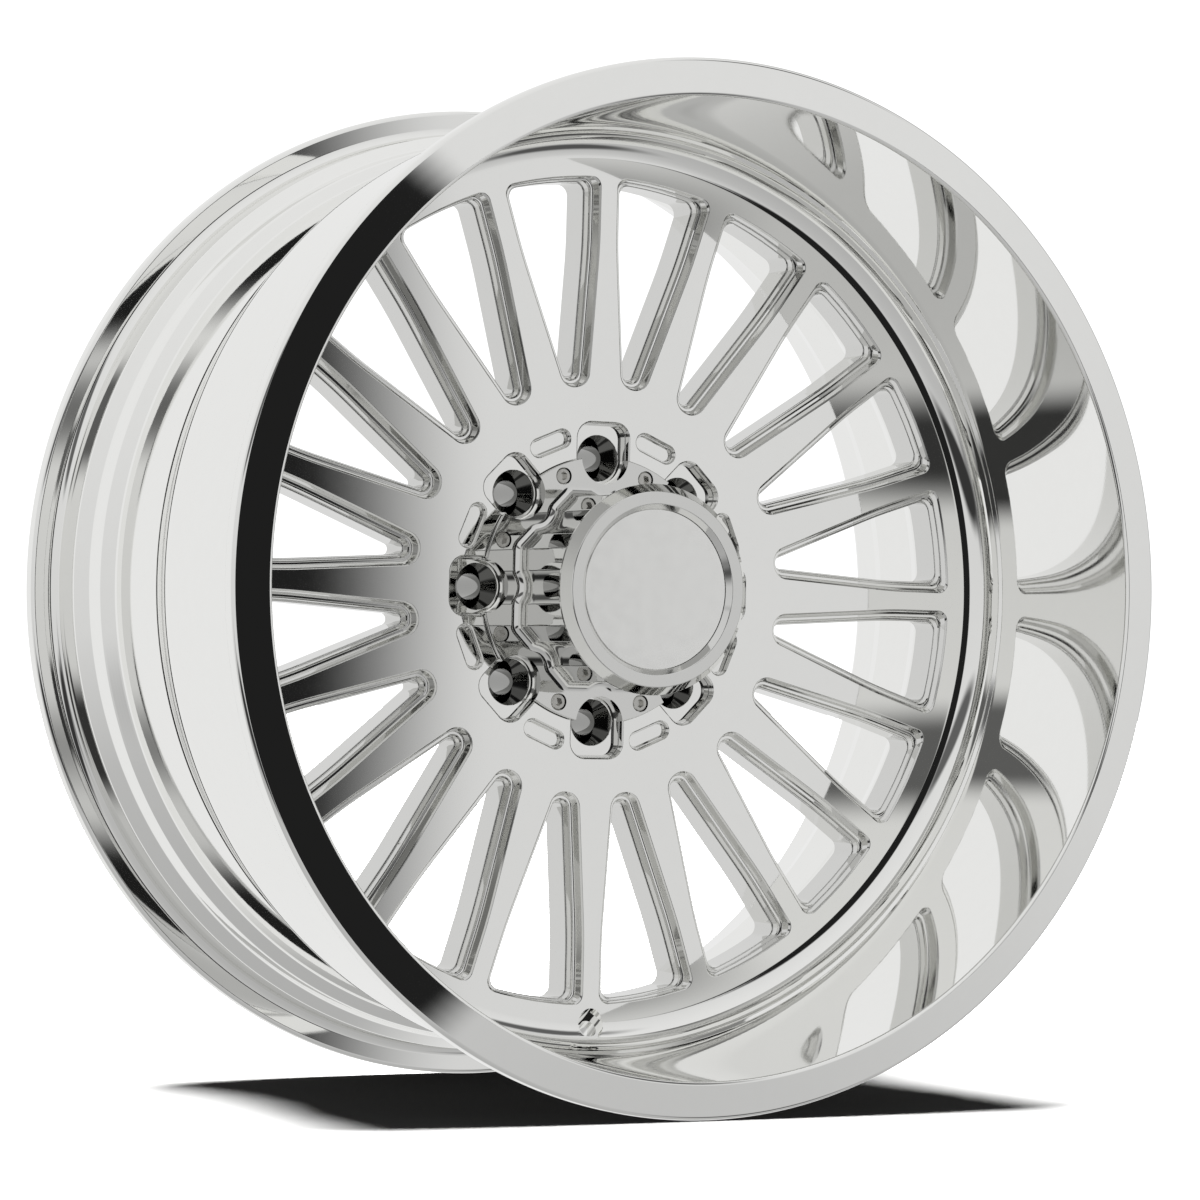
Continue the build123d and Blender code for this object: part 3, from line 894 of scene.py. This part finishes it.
def painted_floor(colour):
    """Matt painted board: the eye sees a plain pale ground with a faint roller texture."""
    material, tree = new_material("matt_painted_board")
    place = add_node(tree, "ShaderNodeTexCoord")
    roller = add_node(tree, "ShaderNodeTexNoise", inputs={
        "Vector": place.outputs["Object"], "Scale": 1 / (roller_mark_size * MM), "Detail": 2.0})
    relief = add_node(tree, "ShaderNodeBump", inputs={
        "Height": roller.outputs["Fac"], "Strength": 0.2, "Distance": roller_mark_height * MM})
    shader = add_node(tree, "ShaderNodeBsdfPrincipled", inputs={
        "Base Color": (*colour, 1), "Roughness": 0.9, "Specular IOR Level": 0.0,
        "Normal": relief.outputs["Normal"]})
    add_node(tree, "ShaderNodeOutputMaterial", inputs={"Surface": shader.outputs["BSDF"]})
    return material


def lay_floor(size, colour):
    """A wide pale floor at the height of the lowest point of the wheel."""
    mesh = bmesh.new()
    bmesh.ops.create_grid(mesh, x_segments=8, y_segments=8, size=size / 2)
    floor = new_object("studio_floor", mesh)
    floor.location.z = cad_low.z
    floor.data.materials.append(painted_floor(colour))
    floor.visible_glossy = False


def hang_light(strength, spread, lean, side):
    """One broad overhead light, which the metal doesn't mirror."""
    data = bpy.data.lights.new("overhead_light", "SUN")
    data.energy = strength
    data.angle = spread
    light = bpy.data.objects.new("overhead_light", data)
    light.rotation_euler = (lean, side, 0)
    light.visible_glossy = False
    bpy.context.scene.collection.objects.link(light)


def place_camera(lens, distance, azimuth, elevation, roll):
    """The camera, ahead of the wheel on the -X side, aimed near the middle of the wheel."""
    data = bpy.data.cameras.new("camera")
    data.sensor_width = sensor_width
    data.lens = lens
    camera = bpy.data.objects.new("camera", data)
    bpy.context.scene.collection.objects.link(camera)
    towards = Vector((sin(azimuth) * cos(elevation), -cos(azimuth) * cos(elevation), sin(elevation)))
    camera.location = distance * towards
    forward = (Vector(camera_aim) - camera.location).normalized()
    camera.rotation_mode = "QUATERNION"
    camera.rotation_quaternion = Quaternion(forward, roll) @ forward.to_track_quat("-Z", "Y")
    bpy.context.scene.camera = camera


# ---------------------------------------------------------------- settings

def colour_setting(name, description, hex_colour):
    """A colour that a user can change, from its sRGB hex value."""
    return FloatVectorProperty(
        name=name, description=description, subtype="COLOR", size=3, min=0, max=1,
        default=linear(hex_colour))


def length_setting(name, description, millimetres):
    """A length that a user can change, from its default in millimetres."""
    return FloatProperty(
        name=name, description=description, unit="LENGTH", subtype="DISTANCE", min=0,
        precision=5, default=millimetres * MM)


def share_setting(name, description, share):
    """A share from none to all that a user can change."""
    return FloatProperty(
        name=name, description=description, subtype="FACTOR", min=0, max=1, default=share)


def angle_setting(name, description, angle):
    """An angle that a user can change, from its default in degrees."""
    return FloatProperty(
        name=name, description=description, subtype="ANGLE", unit="ROTATION", default=radians(angle))


class WheelFinishMetal(bpy.types.PropertyGroup):
    """Colours and surfaces of the metal."""

    wheel_colour: colour_setting("Wheel Colour", "Colour of the polished forging", "F4F4F2")
    wheel_roughness: share_setting("Wheel Roughness", "How hazy the polished forging is", 0.03)
    cap_colour: colour_setting("Cap Colour", "Colour of the polished hub cap", "DDDDDB")
    cap_roughness: share_setting("Cap Roughness", "How hazy the hub cap is", 0.04)
    # Painted shade: the walls are greyed so that the windows' and pockets' edges show as darker lines
    wall_shade_colour: colour_setting("Wall Colour", "Colour of the milled window and pocket walls", "D8D8D6")
    wall_roughness: share_setting("Wall Roughness", "How hazy the milled walls are", 0.05)
    # Painted shade: the lug seats and holes are darkened for the little light that gets out of them
    seat_shade_colour: colour_setting("Seat Colour", "Colour of the lug holes' cone seats", "9C9C9A")
    seat_roughness: share_setting("Seat Roughness", "How hazy the cone seats are", 0.05)
    plate_colour: colour_setting("Plate Colour", "Colour of the cap's face plate", "EFEFED")
    plate_roughness: share_setting("Plate Roughness", "How hazy the face plate is", 0.12)
    screw_colour: colour_setting("Screw Colour", "Colour of the screws", "C9C8C4")
    screw_roughness: share_setting("Screw Roughness", "How hazy the screws are", 0.16)
    # A finishing tool's marks are a few tenths apart: these are drawn coarser, so that they show
    tool_pitch: length_setting("Tool Pitch", "Spacing of the fine turning marks", 1.6)
    tool_height: length_setting("Tool Height", "Height of the fine turning marks", 0.0006)
    edge_rounding: length_setting("Edge Rounding", "Rounding of the window edges", 0.5)


class WheelFinishStudio(bpy.types.PropertyGroup):
    """Floor, light and camera."""

    floor_colour: colour_setting("Floor Colour", "Colour of the pale floor", "F8F8F7")
    floor_size: length_setting("Floor Size", "Width of the floor", 60000)
    light_strength: FloatProperty(
        name="Light Strength", description="Strength of the overhead light", min=0, default=13.0)
    light_spread: angle_setting("Light Spread", "How broad the overhead light is", 34)
    light_lean: angle_setting("Light Lean", "How far the light leans out ahead of the wheel", -6)
    light_side: angle_setting("Light Side", "How far the light leans to the right", -3)
    backdrop_level: FloatProperty(
        name="Backdrop Level", description="Brightness of the white backdrop", min=0, default=1.2)
    lens: FloatProperty(
        name="Lens", description="Focal length of the camera in millimetres", unit="CAMERA",
        min=1, default=129.713)
    camera_distance: length_setting("Camera Distance", "Distance from the wheel's centre", 2783.69)
    camera_azimuth: angle_setting("Camera Azimuth", "Angle round the wheel from its front", -28.4972)
    camera_elevation: angle_setting("Camera Elevation", "Angle above the horizon", -1.1835)
    camera_roll: angle_setting("Camera Roll", "Tilt of the camera about its view", -1.3307)


# ---------------------------------------------------------------- operators

class WHEELFINISH_OT_forged_wheel(bpy.types.Operator):
    """Turns, cuts and polishes the wheel"""

    bl_idname = "wheel_finish.forged_wheel"
    bl_label = "Forged Wheel"

    def execute(self, context):
        metal = context.scene.wheel_finish_metal
        wheel = build_wheel(metal.edge_rounding / MM)
        # Forged aluminium, turned and buffed: a clear mirror, rippled in the dish by the tool
        forging = polished_metal(
            "buffed_forged_aluminium", metal.wheel_colour, metal.wheel_roughness,
            turning_tool(metal), turned_from=dish_floor_radius - dish_cove_radius)
        # Walls left by the milling cutter, painted a shade greyer than the faces: painted shade that draws
        # the windows' and pockets' edges as darker lines
        walls = polished_metal(
            "milled_walls_painted_shade", metal.wall_shade_colour, metal.wall_roughness,
            turning_tool(metal), turned_from=unturned)
        # Cones cut bare for the lug nuts, and the holes below them: painted dark as painted shade, because
        # little light gets out of them
        seats = polished_metal(
            "cone_seats_painted_shade", metal.seat_shade_colour, metal.seat_roughness,
            turning_tool(metal), turned_from=unturned)
        stand_in(wheel, (forging, walls, seats), "forged_wheel")
        paint_cuts(wheel)
        return {"FINISHED"}


class WHEELFINISH_OT_cap_body(bpy.types.Operator):
    """Builds and polishes the hub cap's body"""

    bl_idname = "wheel_finish.cap_body"
    bl_label = "Hub Cap Body"

    def execute(self, context):
        metal = context.scene.wheel_finish_metal
        cap = build_cap()
        # Machined aluminium, buffed after milling: a mirror, a little greyer than the forging
        aluminium = polished_metal(
            "buffed_machined_aluminium", metal.cap_colour, metal.cap_roughness,
            turning_tool(metal), turned_from=unturned)
        stand_in(cap, (aluminium,), "cap_body")
        return {"FINISHED"}


class WHEELFINISH_OT_cap_face_plate(bpy.types.Operator):
    """Finishes the plain plate in the front of the hub cap"""

    bl_idname = "wheel_finish.cap_face_plate"
    bl_label = "Cap Face Plate"

    def execute(self, context):
        metal = context.scene.wheel_finish_metal
        # Aluminium faced on a lathe: a soft sheen over very fine rings
        plate = polished_metal(
            "satin_turned_aluminium", metal.plate_colour, metal.plate_roughness,
            turning_tool(metal), rings=True)
        repaint("cap_face_plate", plate)
        return {"FINISHED"}


class WHEELFINISH_OT_cap_screws(bpy.types.Operator):
    """Finishes the socket screws that hold the hub cap"""

    bl_idname = "wheel_finish.cap_screws"
    bl_label = "Cap Screws"

    def execute(self, context):
        metal = context.scene.wheel_finish_metal
        # Stainless steel, tumbled after heading: greyer and hazier than the aluminium
        steel = polished_metal(
            "tumbled_stainless_steel", metal.screw_colour, metal.screw_roughness, turning_tool(metal))
        for number in range(1, lug_count + 1):
            repaint(f"cap_screw_{number}", steel)
        return {"FINISHED"}


class WHEELFINISH_OT_stage(bpy.types.Operator):
    """Lays the floor, lights the studio and places the camera"""

    bl_idname = "wheel_finish.stage"
    bl_label = "Studio and Camera"

    def execute(self, context):
        studio = context.scene.wheel_finish_studio
        lay_floor(studio.floor_size, studio.floor_colour)
        light_studio(studio.backdrop_level)
        hang_light(studio.light_strength, studio.light_spread, studio.light_lean, studio.light_side)
        place_camera(
            studio.lens, studio.camera_distance, studio.camera_azimuth,
            studio.camera_elevation, studio.camera_roll)
        context.scene.view_settings.view_transform = "Standard"
        return {"FINISHED"}


operators = (
    WHEELFINISH_OT_forged_wheel,
    WHEELFINISH_OT_cap_body,
    WHEELFINISH_OT_cap_face_plate,
    WHEELFINISH_OT_cap_screws,
    WHEELFINISH_OT_stage,
)


class WHEELFINISH_PT_panel(bpy.types.Panel):
    """Lists the settings and the steps that use them"""

    bl_label = "Forged Wheel Finish"
    bl_space_type = "VIEW_3D"
    bl_region_type = "UI"
    bl_category = "Wheel"

    def draw(self, context):
        for settings in (context.scene.wheel_finish_metal, context.scene.wheel_finish_studio):
            column = self.layout.column(align=True)
            for name in settings.__annotations__:
                column.prop(settings, name)
        for operator in operators:
            self.layout.operator(operator.bl_idname)


classes = (WheelFinishMetal, WheelFinishStudio, *operators, WHEELFINISH_PT_panel)


def register():
    """Makes the settings, steps and panel known to Blender."""
    for each in classes:
        bpy.utils.register_class(each)
    bpy.types.Scene.wheel_finish_metal = PointerProperty(type=WheelFinishMetal)
    bpy.types.Scene.wheel_finish_studio = PointerProperty(type=WheelFinishStudio)


def unregister():
    """Takes the settings, steps and panel away again."""
    del bpy.types.Scene.wheel_finish_studio
    del bpy.types.Scene.wheel_finish_metal
    for each in reversed(classes):
        bpy.utils.unregister_class(each)


def main():
    """Runs every step in order."""
    register()
    bpy.ops.wheel_finish.forged_wheel()
    bpy.ops.wheel_finish.cap_body()
    bpy.ops.wheel_finish.cap_face_plate()
    bpy.ops.wheel_finish.cap_screws()
    bpy.ops.wheel_finish.stage()


if __name__ == "__main__":
    main()
